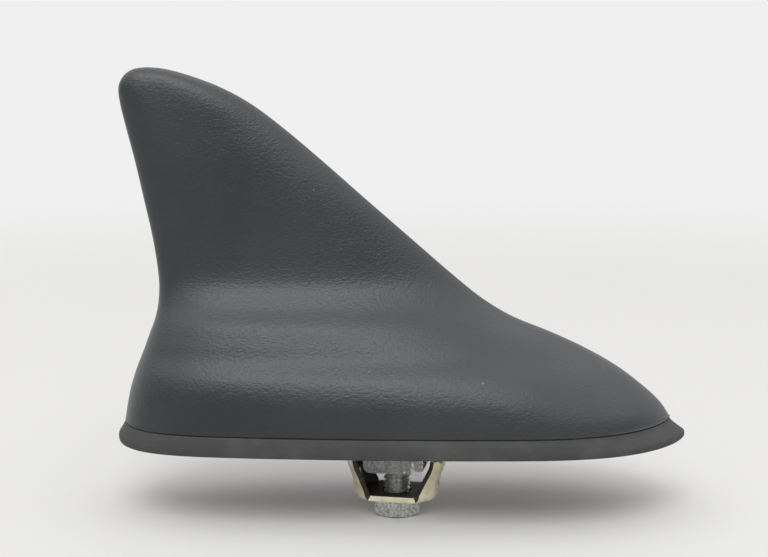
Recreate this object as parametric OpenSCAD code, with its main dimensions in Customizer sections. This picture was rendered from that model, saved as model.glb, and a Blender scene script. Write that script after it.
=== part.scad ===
// Roof antenna of a car: a grained fin on a domed foot, its roof seal, the
// die-cast base with boards and coil inside, and the claw clamp under the roof.
// Origin: middle of the roof hole, in the plane of the roof. +X to the nose, +Z up.

/* [Cover] */
// Length of the foot along its rim
foot_length = 121.8; // [118:0.1:140]
// Width of the foot along its rim
foot_width = 43.2; // [42:0.1:52]
// Top of the fin above the roof
fin_top = 81.9; // [76:0.1:95]
// Rim of the cover above the roof, at the top of the seal's flank
rim_z = 4.3; // [4:0.1:5.5]
// Distance from the roof hole back to the rear of the rim
rear_reach = 60.6; // [58:0.1:66]
// Wall of the cover
cover_wall = 2.2; // [1.6:0.1:2.6]
// Half thickness of the fin, halfway up
fin_half = 5.2; // [4.8:0.1:7]
// Screw bosses inside the cover, across
boss_d = 6.4; // [5.6:0.1:8]

/* [Roof seal] */
// How far the flank of the seal flares at the rear
seal_flare_rear = 1.5; // [0.5:0.1:3]
// How far the flank runs out at the nose
seal_flare_nose = 3.4; // [1:0.1:5]
// How far the flank flares at the sides
seal_flare_side = 0.6; // [0.2:0.1:2]
// Thickness of the seal under the base plate
seal_floor = 1.6; // [1.2:0.1:2]
// Width of the lip that the cover stands on
seal_lip = 2.1; // [1.6:0.1:2.6]
// Depth of the relief pockets in the underside
pocket_depth = 0.7; // [0.4:0.1:1]

/* [Roof hole] */
// Side of the square roof hole
roof_hole = 25.5; // [24.5:0.1:28]
// Play of the pilot in the roof hole, all round
pilot_play = 0.25; // [0.1:0.05:0.5]
// How far the pilot reaches below the roof
pilot_reach = 1.6; // [1:0.1:2.4]
// Middle of the roof hole, to the left of the antenna's middle plane
hole_y = 2; // [1:0.1:3]

/* [Base plate] */
// Thickness of the floor
base_floor = 2.6; // [2:0.1:3.2]
// Play between base plate and cover
base_play = 0.35; // [0.2:0.05:0.6]
// Height of the board posts over the floor
post_height = 4.2; // [3.8:0.1:5]
// Diameter of the board posts
post_d = 5.4; // [5:0.1:7]
// Diameter of the threaded boss
boss_outer = 11; // [10:0.1:12]

/* [Clamp] */
// Thread of the clamp bolt
bolt_d = 6; // [5:0.5:6]
// Length of the bolt under its head
bolt_length = 18; // [17:0.5:19]
// Width across the flats of the bolt head
head_flats = 10; // [8:0.1:11]
// Height of the bolt head
head_height = 4; // [3:0.1:5]
// Bolt axis, to the right of the antenna's middle plane where negative
bolt_y = -3; // [-4:0.1:-2.5]
// Underside of the bracket below the roof
clamp_drop = 12.8; // [12:0.1:16]
// Sheet of the bracket
bracket_sheet = 1.2; // [1:0.1:1.5]
// Tips of the claws below the roof
claw_drop = 3.6; // [3:0.1:4.5]
// Turn of the loose clamp on its bolt
clamp_turn = -11; // [-14:0.5:0]
// Clearance of the bolt in the bracket and the clip
bolt_play = 0.3; // [0.2:0.05:0.5]
// Width of the clear clip
clip_width = 13.4; // [12:0.1:14]
// Depth of the clear clip
clip_depth = 10; // [9:0.1:11]
// Underside of the clip below the roof
clip_drop = 6.8; // [6.2:0.1:8]
// Wall of the clip
clip_wall = 1.1; // [0.9:0.1:1.4]

/* [Connector] */
// Width of the connector housing
plug_width = 13.4; // [12.4:0.1:14]
// Depth of the connector housing
plug_depth = 9; // [8.6:0.1:9.4]
// Open end of the housing below the roof
plug_drop = 9.2; // [8:0.1:12]
// Wall of the housing
plug_wall = 1.2; // [1:0.1:1.4]
// Middle of the connector, behind the roof hole's middle
plug_x = -5; // [-5.4:0.1:-4]
// Middle of the connector across the antenna
plug_y = 9; // [8.8:0.1:9.4]
// Outer contact, bore
shell_bore = 3.4; // [3.2:0.1:3.8]
// Outer contact, wall
shell_wall = 0.4; // [0.3:0.05:0.5]
// Centre contact, diameter of its free end
pin_d = 0.9; // [0.7:0.05:1]
// Centre contact, diameter in the insulator
pin_shank_d = 1.5; // [1.3:0.05:1.6]

/* [Boards] */
// Thickness of the main board
board_sheet = 1.6; // [1:0.1:2]
// Rear end of the main board
board_rear = -46; // [-48:0.5:-42]
// Front end of the main board
board_front = 40; // [36:0.5:42]
// Half width of the main board
board_half = 13.6; // [13:0.1:14.4]
// Thickness of the fin board
fin_sheet = 1.2; // [0.8:0.1:1.6]
// Clearance of the fin board to the cover's edge walls
fin_play = 1.6; // [1:0.1:3]
// Side of the ceramic patch
patch_side = 25; // [18:0.5:25]
// Height of the ceramic patch
patch_height = 4; // [3:0.1:5]
// Middle of the patch, ahead of the roof hole's middle
patch_x = 23; // [20:0.5:24]
// Wire of the radio coil
coil_wire = 0.8; // [0.6:0.1:1]
// Turns of the radio coil
coil_turns = 6; // [4:1:7]
// Diameter of the coil's core
core_d = 5; // [4.4:0.1:5.6]
// Sheet of shield can, top load, radiator and contacts
tin_sheet = 0.4; // [0.3:0.05:0.5]

/* [Hidden] */

charcoal = [0.13, 0.14, 0.15];
rubber_black = [0.16, 0.16, 0.17];
cast_grey = [0.62, 0.63, 0.64];
board_green = [0.05, 0.30, 0.16];
tin = [0.75, 0.76, 0.77];
copper = [0.72, 0.42, 0.24];
brass = [0.80, 0.66, 0.34];
ceramic = [0.86, 0.80, 0.66];
violet = [0.45, 0.16, 0.45];
cream_zinc = [0.80, 0.78, 0.66];

// The form is lofted through these stations, from the rim up to the tip:
// height, rear edge, front edge, half thickness, on a foot 121.8 long and 43.2 wide
STATIONS = [
    [ 4.3, -60.6,  61.2, 21.6],
    [ 8.0, -60.0,  58.7, 21.3],
    [12.0, -59.1,  54.3, 20.4],
    [16.0, -57.8,  48.9, 19.0],
    [20.0, -56.2,  41.9, 16.9],
    [23.5, -54.9,  34.4, 14.2],
    [27.0, -53.6,  25.9, 11.2],
    [31.0, -52.8,  19.2,  8.3],
    [36.0, -52.7,  12.9,  6.4],
    [44.0, -53.7,   3.7,  5.4],
    [53.0, -55.5,  -6.6,  5.0],
    [62.0, -57.4, -16.8,  4.6],
    [69.0, -59.1, -25.1,  4.3],
    [74.0, -60.2, -31.8,  4.1],
    [77.6, -60.5, -38.4,  3.7],
    [80.1, -59.3, -45.0,  2.9],
    [81.5, -57.2, -50.2,  1.8],
    [81.9, -54.6, -53.6,  0.3]];
table_low = STATIONS[0];
table_top = STATIONS[len(STATIONS) - 1][0];
table_half = table_low[3];
table_length = table_low[2] - table_low[1];
table_fin_half = 5.2;
DOME_ROW = 5;
FIN_ROW = 8;

outline_points = 56;
row_step = 0.5;
cavity_end_row = 14.2;

base_under = seal_floor;
base_top = base_under + base_floor;
board_under = base_top + post_height;
board_top = board_under + board_sheet;
plate_under = -clamp_drop;
plate_top = plate_under + bracket_sheet;
bolt_tip = plate_under + bolt_length;
pilot_side = roof_hole - 2 * pilot_play;
touch = 0.02;
rib = 1.6;

function mix(a, b, t) = a + (b - a) * t;
function ease(t) = let (s = max(0, min(1, t))) s * s * (3 - 2 * s);

// A smooth curve through the rows of a table, read at any row number
function row_of(table, r) =
    let (last = len(table) - 1,
         i = max(0, min(floor(r), last - 1)),
         t = r - i,
         a = table[max(i - 1, 0)], b = table[i],
         c = table[i + 1], d = table[min(i + 2, last)])
    0.5 * (2 * b + (c - a) * t + (2 * a - 5 * b + 4 * c - d) * t * t
           + (3 * b - a - 3 * c + d) * t * t * t);

// The stations stretched to the set length, height and widths
function station(r) =
    let (row = row_of(STATIONS, r),
         up = ease((r - DOME_ROW) / (FIN_ROW - DOME_ROW)),
         stretch = foot_length / table_length,
         widen = mix(foot_width / 2 / table_half, fin_half / table_fin_half, up))
    [rim_z + (row[0] - table_low[0]) * (fin_top - rim_z) / (table_top - table_low[0]),
     (row[1] - table_low[1]) * stretch - rear_reach,
     (row[2] - table_low[1]) * stretch - rear_reach,
     row[3] * widen];

// The same level, moved in from the outer face by a wall measured square to it
function inset_station(r, wall) =
    let (here = station(r),
         slope = station(r + 0.1) - station(r - 0.1),
         lean = [for (k = [1 : 3]) sqrt(1 + pow(slope[k] / slope[0], 2))])
    [here[0], here[1] + wall * lean[0], here[2] - wall * lean[1], here[3] - wall * lean[2]];

// Plan outline of a level: full and blunt in the foot, slim in the fin
function fin_share(r) = ease((r - 0.3) / 6.2);
function nose_shape(u, t) = pow(1 - pow(u, mix(3.3, 2.6, t)), mix(0.72, 0.55, ease(2 * t)));
function tail_shape(u, t) = (1 - mix(0.24, 0, t) * pow(u, 1.8)) * sqrt(1 - pow(u, mix(12, 4.2, t)));
function outline(row, t, count) =
    let (belly = mix(row[1], row[2], mix(0.63, 0.40, t)))
    [for (i = [0 : count - 1])
        let (a = 360 * i / count, c = cos(a), u = min(1, abs(c)),
             y = row[3] * (c >= 0 ? nose_shape(u, t) : tail_shape(u, t)))
        [c >= 0 ? belly + (row[2] - belly) * u : belly - (belly - row[1]) * u,
         sin(a) >= 0 ? y : -y]];

function ring_at(points, z) = [for (p = points) [p[0], p[1], z]];
function level_ring(r, count) = ring_at(outline(station(r), fin_share(r), count), station(r)[0]);
function inner_ring(r, wall, count) =
    let (row = inset_station(r, wall)) ring_at(outline(row, fin_share(r), count), row[0]);

// The foot's outline, grown or shrunk, for all that follows the rim
function rim_outline(rear, side, nose, count = outline_points) =
    let (row = station(0))
    outline([0, row[1] - rear, row[2] + nose, row[3] + side], 0, count);

// A closed skin over rings that have the same number of points
module skin(rings) {
    n = len(rings[0]);
    last = len(rings) - 1;
    walls = [for (k = [0 : last - 1], i = [0 : n - 1], half = [0, 1])
        let (a = k * n + i, b = k * n + (i + 1) % n, c = a + n, d = b + n)
        half == 0 ? [a, c, b] : [b, c, d]];
    floor_face = [[for (i = [0 : n - 1]) i]];
    roof_face = [[for (i = [n - 1 : -1 : 0]) last * n + i]];
    polyhedron([for (ring = rings) each ring], concat(walls, floor_face, roof_face));
}

module cover_form() {
    rows = concat([for (r = [0 : row_step : len(STATIONS) - 1.5]) r], [len(STATIONS) - 1]);
    skin([for (r = rows) level_ring(r, outline_points)]);
}

module cover_cavity() {
    rows = [for (k = [0 : 14]) mix(0.4, cavity_end_row, k / 14)];
    below = inner_ring(rows[0], cover_wall, outline_points);
    skin(concat([[for (p = below) [p[0], p[1], rim_z - 1]]],
                [for (r = rows) inner_ring(r, cover_wall, outline_points)]));
}

// Bosses of the cover: place along and across, height
COVER_BOSSES = [[-52.4, 0, 13], [-25, 10.6, 30], [-25, -10.6, 30], [47, 0, 20]];
screw_d = 2.9;
screw_length = 9;
screw_head_d = 5.6;
screw_head_height = 1.8;
screw_seat = base_under + screw_head_height + 0.1;
boss_foot = base_top + 0.1;

module at_cover_bosses() {
    for (p = COVER_BOSSES) translate([p[0], p[1], 0]) children();
}
module cover_bosses() {
    for (p = COVER_BOSSES) translate([p[0], p[1], boss_foot]) cylinder(d = boss_d, h = p[2], $fn = 32);
    // web from the rear boss to the rear wall, above the cover seal
    translate([COVER_BOSSES[0][0] - 8, -rib / 2, base_top + 2]) cube([8, rib, COVER_BOSSES[0][2] - 2]);
}
// Rails inside the fin, on both sides of the fin board's rear edge
module fin_rails() {
    rail_depth = 3;
    gap = fin_sheet / 2 + 0.2;
    for (side = [0, 1]) mirror([0, side, 0]) translate([-57, gap, 33]) cube([9, rail_depth, 21]);
}

// Moulded shell with four screw bosses and two rails for the fin board
module cover() {
    color(charcoal) difference() {
        cover_form();
        difference() {
            cover_cavity();
            cover_bosses();
            fin_rails();
        }
        at_cover_bosses() translate([0, 0, boss_foot - 1])
            cylinder(d = screw_d - 0.5, h = screw_length, $fn = 24);
    }
}

lip_outer_z = rim_z - 0.5;

// Moulded rubber: flared flank, lip under the cover's rim, floor with relief pockets
module roof_seal() {
    opening = roof_hole + 1.5;
    land = 4;
    tray = rim_outline(-seal_lip, -seal_lip, -seal_lip);
    color(rubber_black) difference() {
        skin([ring_at(rim_outline(seal_flare_rear - 0.3, seal_flare_side - 0.3, seal_flare_nose - 0.4), 0),
              ring_at(rim_outline(seal_flare_rear, seal_flare_side, seal_flare_nose), 0.5),
              ring_at(rim_outline(seal_flare_rear, seal_flare_side, seal_flare_nose - 0.2), 1.4),
              ring_at(rim_outline(0.35 * seal_flare_rear, 0.4, 0.3 * seal_flare_nose), 3),
              ring_at(rim_outline(0.1, 0.1, 0.1), lip_outer_z),
              ring_at(rim_outline(-0.5, -0.5, -0.6), rim_z)]);
        translate([0, 0, seal_floor]) linear_extrude(rim_z) polygon(tray);
        translate([-opening / 2, hole_y - opening / 2, -1]) cube([opening, opening, rim_z + 1]);
        translate([0, 0, -1]) linear_extrude(1 + pocket_depth) seal_pockets(opening, land);
    }
}

module seal_pockets(opening, land) {
    pitch = 11;
    cell = pitch - 1.6;
    intersection() {
        polygon(rim_outline(-land - 1, -land, -land - 4, 28));
        difference() {
            union() for (i = [-5 : 5], j = [-2 : 1])
                translate([i * pitch - cell / 2, (j + 0.5) * pitch - cell / 2]) square(cell);
            translate([-opening / 2 - land, hole_y - opening / 2 - land])
                square(opening + 2 * land);
        }
    }
}

BOARD_POSTS = [[-42, 9.6], [-42, -9.6], [7.5, 10.4], [7.5, -10.4]];
module at_board_posts() {
    for (p = BOARD_POSTS) translate([p[0], p[1], 0]) children();
}
base_inset = cover_wall + base_play;
ledge_z = base_top;
rim_wall = 1.6;

// Die-cast zinc: floor, raised rim, pilot for the roof hole, threaded boss, duct, posts, ribs
module base_plate() {
    inset = base_inset + 1.8;
    duct_x = plug_width + 0.3;
    duct_y = plug_depth + 0.3;
    color(cast_grey) difference() {
        union() {
            translate([0, 0, base_under]) linear_extrude(base_floor)
                polygon(rim_outline(-base_inset, -base_inset, -base_inset - 1));
            translate([0, 0, base_top - touch]) linear_extrude(1.8 + touch) difference() {
                polygon(rim_outline(-inset, -inset, -inset - 2.6, 28));
                polygon(rim_outline(-inset - rim_wall, -inset - rim_wall, -inset - 4.6, 28));
                at_cover_bosses() circle(d = boss_d + 0.6, $fn = 32);
            }
            translate([-pilot_side / 2, hole_y - pilot_side / 2, -pilot_reach])
                cube([pilot_side, pilot_side, base_under + pilot_reach + touch]);
            translate([0, bolt_y, base_top - touch])
                cylinder(d = boss_outer, h = board_under - base_top - 0.3, $fn = 48);
            at_board_posts() translate([0, 0, base_top - touch])
                cylinder(d = post_d, h = board_under - base_top + touch, $fn = 32);
            for (x = [-31, -14, 22, 33]) translate([x - 0.7, -11, base_top - touch])
                cube([1.4, 22, 1.3]);
            translate([-43, -0.7, base_top - touch]) cube([82, 1.4, 1.3]);
        }
        // connector duct, open through floor and pilot
        translate([plug_x - duct_x / 2, plug_y - duct_y / 2, -pilot_reach - 1])
            cube([duct_x, duct_y, pilot_reach + base_top + 4]);
        // threaded hole, blind at the top
        translate([0, bolt_y, -pilot_reach - 1])
            cylinder(d = bolt_d, h = 1 + pilot_reach + bolt_tip + 0.9, $fn = 48);
        // relief of the pilot between its outer walls
        translate([3.4, 6.2, -pilot_reach - 1]) cube([9, 6.6, pilot_reach + 2]);
        at_board_posts() translate([0, 0, base_top + 1]) cylinder(d = 1.7, h = post_height, $fn = 24);
        at_cover_bosses() {
            translate([0, 0, base_under - 1]) cylinder(d = screw_d + 0.4, h = base_floor + 4, $fn = 24);
            translate([0, 0, base_under - 1])
                cylinder(d = screw_head_d + 0.4, h = screw_seat - base_under + 1, $fn = 32);
        }
    }
}

// Soft cord on the ledge of the base plate, against the cover's wall
module cover_seal() {
    cord = 1.5;
    inner = base_inset + cord;
    color(rubber_black) translate([0, 0, ledge_z]) linear_extrude(1.4) difference() {
        polygon(rim_outline(-base_inset - 0.1, -base_inset - 0.1, -base_inset - 1.2));
        polygon(rim_outline(-inner, -inner, -inner - 1.2));
    }
}

// Self-tapping pan-head screws, heads down in the base plate
module cover_screws() {
    color(tin) at_cover_bosses() difference() {
        union() {
            translate([0, 0, screw_seat - screw_head_height])
                cylinder(d = screw_head_d, h = screw_head_height, $fn = 32);
            translate([0, 0, screw_seat - touch])
                cylinder(d = screw_d - 0.5, h = screw_length - 2.6, $fn = 24);
        }
        translate([0, 0, screw_seat - screw_head_height - 1])
            cylinder(d = 2.6, h = 1 + 1.1, $fn = 6);
    }
}

// Flat board on the posts, narrowed to the nose and notched for the cover's bosses
module main_board() {
    nose_half = 8;
    color(board_green) difference() {
        translate([0, 0, board_under]) linear_extrude(board_sheet) polygon([
            [board_rear, -board_half + 2], [board_rear + 2, -board_half], [board_front - 8, -board_half],
            [board_front, -nose_half], [board_front, nose_half], [board_front - 8, board_half],
            [board_rear + 2, board_half], [board_rear, board_half - 2]]);
        at_board_posts() translate([0, 0, board_under - 1]) cylinder(d = 2.4, h = board_sheet + 2, $fn = 24);
        at_cover_bosses() translate([0, 0, board_under - 1])
            cylinder(d = boss_d + 1, h = board_sheet + 2, $fn = 32);
        translate([patch_x, 0, board_under - 1]) cylinder(d = 1.6, h = board_sheet + 2, $fn = 24);
        translate([plug_x, plug_y, board_under - 1])
            cylinder(d = pin_shank_d + 0.3, h = board_sheet + 2, $fn = 24);
    }
}

module board_screws() {
    color(tin) at_board_posts() difference() {
        union() {
            translate([0, 0, board_top]) cylinder(d = 4, h = 1.5, $fn = 32);
            translate([0, 0, board_top - 4.4]) cylinder(d = 1.7, h = 4.4 + touch, $fn = 24);
        }
        translate([0, 0, board_top + 0.7]) cylinder(d = 1.8, h = 2, $fn = 6);
    }
}

CAN = [-10, -8, 15, 15];
can_height = 3.2;

// Tinned screening can over the amplifier, with cooling holes in its lid
module shield_can() {
    color(tin) translate([CAN[0], CAN[1], board_top]) difference() {
        cube([CAN[2], CAN[3], can_height]);
        translate([tin_sheet, tin_sheet, -1])
            cube([CAN[2] - 2 * tin_sheet, CAN[3] - 2 * tin_sheet, can_height + 1 - tin_sheet]);
        for (i = [0 : 3], j = [0 : 3])
            translate([3 + i * 3, 3 + j * 3, 0]) cylinder(d = 1.1, h = can_height + 1, $fn = 16);
    }
}

// Ceramic block with its silvered square, on the front of the board
module patch_antenna() {
    silver = patch_side - 6;
    color(ceramic) difference() {
        union() {
            translate([patch_x - patch_side / 2, -patch_side / 2, board_top])
                cube([patch_side, patch_side, patch_height]);
            translate([patch_x - silver / 2, -silver / 2, board_top + patch_height - touch])
                cube([silver, silver, 0.1 + touch]);
        }
        translate([patch_x, 0, board_top - 1]) cylinder(d = 1.6, h = patch_height + 3, $fn = 24);
    }
}

module patch_pin() {
    head = board_top + patch_height + 0.1;
    color(brass) translate([patch_x, 0, 0]) {
        translate([0, 0, board_under - 1]) cylinder(d = 1, h = head - board_under + 1 + touch, $fn = 24);
        translate([0, 0, head]) cylinder(d = 2.2, h = 0.4, $fn = 24);
    }
}

holder_x = [-44, -25];
holder_height = 5;
fin_foot_x = [-45.5, -19];
fin_foot = board_top + 1.2;
fin_rows = [for (r = [6.6 : 1 : 13.6]) r];

// Upright board that follows the fin's edges inside the cover
function fin_edge(r, side) =
    let (row = inset_station(r, cover_wall + fin_play))
    [side == 0 ? row[1] + 1.2 : row[2] - 1, row[0]];
module fin_profile() {
    polygon(concat(
        [[fin_foot_x[0], fin_foot], [fin_foot_x[0], board_top + 12]],
        [for (r = fin_rows) fin_edge(r, 0)],
        [for (k = [len(fin_rows) - 1 : -1 : 0]) fin_edge(fin_rows[k], 1)],
        [[fin_foot_x[1] + 5, board_top + 12], [fin_foot_x[1], fin_foot]]));
}
module fin_board() {
    color(board_green) difference() {
        translate([0, fin_sheet / 2, 0]) rotate([90, 0, 0]) linear_extrude(fin_sheet) fin_profile();
        at_rivets() cylinder(d = rivet_d + 0.2, h = 10, center = true, $fn = 24);
    }
}

// Plastic foot with a slot that grips the fin board
module fin_board_holder() {
    slot = fin_sheet + 0.1;
    color([0.85, 0.85, 0.82]) difference() {
        union() {
            translate([holder_x[0], -4, board_top]) cube([holder_x[1] - holder_x[0], 8, 1.2]);
            translate([holder_x[0], -2.2, board_top]) cube([holder_x[1] - holder_x[0], 4.4, holder_height]);
        }
        translate([holder_x[0] - 1, -slot / 2, board_top + 1.2])
            cube([holder_x[1] - holder_x[0] + 2, slot, holder_height]);
    }
}

rivet_d = 1.6;
module at_rivets() {
    for (p = [[-49, 62], [-38, 62]]) translate([p[0], 0, p[1]]) rotate([90, 0, 0]) children();
}

// Slotted sheets on both faces of the fin board, near its top, joined by two rivets
module top_load() {
    face = fin_sheet / 2;
    color(copper) {
        for (side = [0, 1]) mirror([0, side, 0]) translate([0, face + tin_sheet, 0])
            rotate([90, 0, 0]) linear_extrude(tin_sheet) difference() {
                polygon([[-52.6, 57], [-54, 69], [-39, 69], [-31, 61.5], [-28.5, 57]]);
                for (x = [-45.5, -41.5, -34.5]) translate([x, 59.5]) square([1.6, 6]);
            }
        at_rivets() cylinder(d = rivet_d, h = fin_sheet + 2 * tin_sheet, center = true, $fn = 24);
    }
}

// Meandered strip, flat on the left face of the board
module phone_radiator() {
    color(brass) translate([0, -fin_sheet / 2, 0]) rotate([90, 0, 0]) linear_extrude(tin_sheet) union() {
        for (k = [0 : 3]) translate([-48, 26 + k * 5]) square([22, 1.6]);
        for (k = [0 : 2]) translate([k % 2 == 0 ? -27.6 : -48, 26 + k * 5]) square([1.6, 6.6]);
    }
}

coil_at = [-17, 8.4];
coil_base = board_top + 1.2;

// Wound coil on its core, between board and fin board
module radio_coil() {
    radius = core_d / 2 + coil_wire / 2 + 0.12;
    pitch = 1.15;
    steps = 14;
    sides = 6;
    count = coil_turns * steps;
    color(copper) translate([coil_at[0], coil_at[1], coil_base + coil_wire])
        skin([for (k = [0 : count]) let (a = 360 * k / steps)
            [for (i = [0 : sides - 1]) let (b = -360 * i / sides, q = radius + coil_wire / 2 * cos(b))
                [q * cos(a), q * sin(a), pitch * k / steps + coil_wire / 2 * sin(b)]]]);
}
module coil_core() {
    height = 10.5;
    color([0.25, 0.25, 0.27]) translate([coil_at[0], coil_at[1], board_top]) union() {
        cylinder(d = core_d + 2.6, h = 1.2, $fn = 40);
        cylinder(d = core_d, h = height, $fn = 40);
    }
}

// Angle springs from the main board up to the pads of the fin board
module board_contacts() {
    foot = 2.6;
    leg = 4.4;
    color(brass) for (x = [-23.6, -21]) translate([x + 1.6, fin_sheet / 2, board_top])
        rotate([0, -90, 0]) linear_extrude(1.6)
            polygon([[0, 0], [leg, 0], [leg, tin_sheet], [tin_sheet, tin_sheet], [tin_sheet, foot], [0, foot]]);
}

// Amplifier and filter packages
module chips() {
    color([0.08, 0.08, 0.09]) {
        translate([-7, -5, board_top]) cube([7, 7, 1]);
        translate([-8, 3.5, board_top]) cube([3, 3, 1.2]);
        translate([1, 3, board_top]) cube([2.6, 3.2, 1.2]);
        for (x = [-40, -36.6, -33.2]) translate([x, -8.4, board_top]) cube([2, 1.2, 0.8]);
    }
}

module at_plug() {
    translate([plug_x, plug_y, 0]) children();
}
plug_floor = -plug_drop + 7;

// Coded plug housing, its socket open downward
module connector_housing() {
    mouth_x = plug_width - 2 * plug_wall;
    mouth_y = plug_depth - 2 * plug_wall;
    body_top = board_under;
    cut = 2.1;
    color(violet) at_plug() difference() {
        translate([0, plug_depth / 2, 0]) rotate([90, 0, 0]) linear_extrude(plug_depth) polygon([
            [-plug_width / 2 + cut, -plug_drop], [plug_width / 2, -plug_drop],
            [plug_width / 2, body_top], [-plug_width / 2, body_top],
            [-plug_width / 2, -plug_drop + cut * 1.4]]);
        translate([-mouth_x / 2 + cut, -mouth_y / 2, -plug_drop - 1])
            cube([mouth_x - cut, mouth_y, plug_floor + plug_drop + 1]);
        translate([0, 0, plug_floor - 1]) cylinder(d = shell_bore + 2 * shell_wall, h = 40, $fn = 40);
    }
}
shell_recess = 1.6;
pin_recess = 2.4;
pin_tail = 0.8;

module connector_shell() {
    low = -plug_drop + shell_recess;
    color(tin) at_plug() difference() {
        translate([0, 0, low]) cylinder(d = shell_bore + 2 * shell_wall, h = board_under - low, $fn = 40);
        translate([0, 0, low - 1]) cylinder(d = shell_bore, h = board_under - low + 2, $fn = 40);
    }
}
module connector_insulator() {
    color([0.93, 0.93, 0.90]) at_plug() difference() {
        translate([0, 0, plug_floor]) cylinder(d = shell_bore, h = board_under - plug_floor, $fn = 40);
        translate([0, 0, plug_floor - 1]) cylinder(d = pin_shank_d, h = board_under - plug_floor + 2, $fn = 24);
    }
}
// Centre contact: a thin free end, a thicker shank through insulator and board
module connector_pin() {
    low = -plug_drop + pin_recess;
    color(brass) at_plug() {
        translate([0, 0, low]) cylinder(d = pin_d, h = plug_floor - low + touch, $fn = 24);
        translate([0, 0, plug_floor]) cylinder(d = pin_shank_d, h = board_top + pin_tail - plug_floor, $fn = 24);
    }
}

// Sections of a leg, from claw to plate. In plan: edge, web, half depth, half flat of the web
CLAW_PLAN = [9.2, 11.0, 5.2, 3.0];
SHIN_PLAN = [8.6, 10.6, 5.4, 3.0];
KNEE_PLAN = [7.4, 9.7, 5.8, 3.1];
FOOT_PLAN = [6.1, 9.4, 6.4, 3.1];
plate_edge = 4.8;
plate_web = 8.4;
bend_r = 1.6;

// Across the sheet at one height: outer face, then inner face
function leg_ring(plan, z) =
    let (e = plan[0], w = plan[1], d = plan[2], f = plan[3], s = bracket_sheet, g = 0.42 * s)
    [[e, -d, z], [w, -f, z], [w, f, z], [e, d, z],
     [e - s, d - g, z], [w - s, f - g, z], [w - s, -f + g, z], [e - s, -d + g, z]];
// The same across the plate, at a distance from its middle: underside, then top
function plate_ring(edge, web, low, high) =
    let (d = FOOT_PLAN[2], f = FOOT_PLAN[3])
    [[edge, -d, low], [web, -f, low], [web, f, low], [edge, d, low],
     [edge, d, high], [web, f, high], [web, -f, high], [edge, -d, high]];
function mirrored(ring) = [for (p = ring) [-p[0], p[1], p[2]]];

module at_clamp() {
    translate([0, bolt_y, 0]) rotate([0, 0, clamp_turn]) children();
}

// Claw bracket bent from one strip: bottom plate with the bolt hole, two channel legs, toothed tips
module clamp_bracket() {
    claw_tip = -claw_drop;
    foot_z = plate_under + bend_r;
    tooth = 1.1;
    half = [leg_ring(CLAW_PLAN, claw_tip + 1),
            leg_ring(SHIN_PLAN, mix(claw_tip, foot_z, 0.3)),
            leg_ring(KNEE_PLAN, mix(claw_tip, foot_z, 0.65)),
            leg_ring(FOOT_PLAN, foot_z),
            plate_ring(plate_edge, plate_web, plate_under, plate_top)];
    middle = plate_ring(0, 0, plate_under, plate_top);
    color(cream_zinc) at_clamp() difference() {
        skin(concat([for (ring = half) mirrored(ring)], [middle], [for (k = [len(half) - 1 : -1 : 0]) half[k]]));
        translate([0, 0, plate_under - 1]) cylinder(d = bolt_d + 2 * bolt_play, h = bracket_sheet + 2, $fn = 48);
        // saw teeth across both claws
        translate([-14, 0, claw_tip]) rotate([90, 0, 90]) linear_extrude(28) polygon(concat(
            [[8, 3], [-8, 3], [-8, 0]],
            [for (y = [-3.2, 0, 3.2], c = [-1, 0, 1]) [y + tooth * c, c == 0 ? -tooth : 0]],
            [[8, 0]]));
        // window for the clip's hook in each web
        for (side = [0, 1]) mirror([side, 0, 0]) translate([8.2, -1.6, -10]) cube([4, 3.2, 2.6]);
    }
}

head_corner_r = head_flats / 2 / cos(30);

// Hexagon bolt, head down, chamfered; the shank carries the thread
module clamp_bolt() {
    chamfer = 0.7;
    color(tin) translate([0, bolt_y, 0]) union() {
        translate([0, 0, plate_under - head_height]) intersection() {
            rotate([0, 0, 30]) cylinder(r = head_corner_r, h = head_height, $fn = 6);
            union() {
                cylinder(r1 = head_flats / 2 - 0.1, r2 = head_corner_r + 0.1, h = chamfer, $fn = 60);
                translate([0, 0, chamfer]) cylinder(r = head_corner_r + 0.1, h = head_height - chamfer, $fn = 60);
            }
        }
        translate([0, 0, plate_under - touch]) cylinder(d = bolt_d - 0.1, h = bolt_length - 0.8 + touch, $fn = 48);
        translate([0, 0, bolt_tip - 0.8 - touch]) cylinder(d1 = bolt_d - 0.1, d2 = bolt_d - 1.6, h = 0.8 + touch, $fn = 48);
    }
}

// Clear clip that holds the clamp up on the pilot: a cup with a sleeve round the bolt
module retainer_clip() {
    top = -pilot_reach - 0.3;
    height = clip_drop + top;
    radius = 1.6;
    sleeve_d = bolt_d + 2 * bolt_play + 2 * clip_wall;
    color([0.85, 0.85, 0.88, 0.6]) at_clamp() difference() {
        union() {
            difference() {
                translate([0, clip_depth / 2, 0]) rotate([90, 0, 0]) linear_extrude(clip_depth)
                    clip_profile(clip_width, height, radius, -clip_drop);
                translate([0, clip_depth / 2 - clip_wall, 0]) rotate([90, 0, 0])
                    linear_extrude(clip_depth - 2 * clip_wall)
                    clip_profile(clip_width - 2 * clip_wall, height + 1, radius - 0.5, -clip_drop + clip_wall);
            }
            translate([0, 0, -clip_drop]) cylinder(d = sleeve_d, h = height, $fn = 48);
        }
        translate([0, 0, -clip_drop - 1]) cylinder(d = bolt_d + 2 * bolt_play, h = height + 2, $fn = 48);
    }
}
module clip_profile(width, height, radius, low) {
    translate([-width / 2, low + radius]) square([width, height - radius]);
    translate([-width / 2 + radius, low]) square([width - 2 * radius, height]);
    for (side = [-1, 1]) translate([side * (width / 2 - radius), low + radius]) circle(radius, $fn = 32);
}

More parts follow.
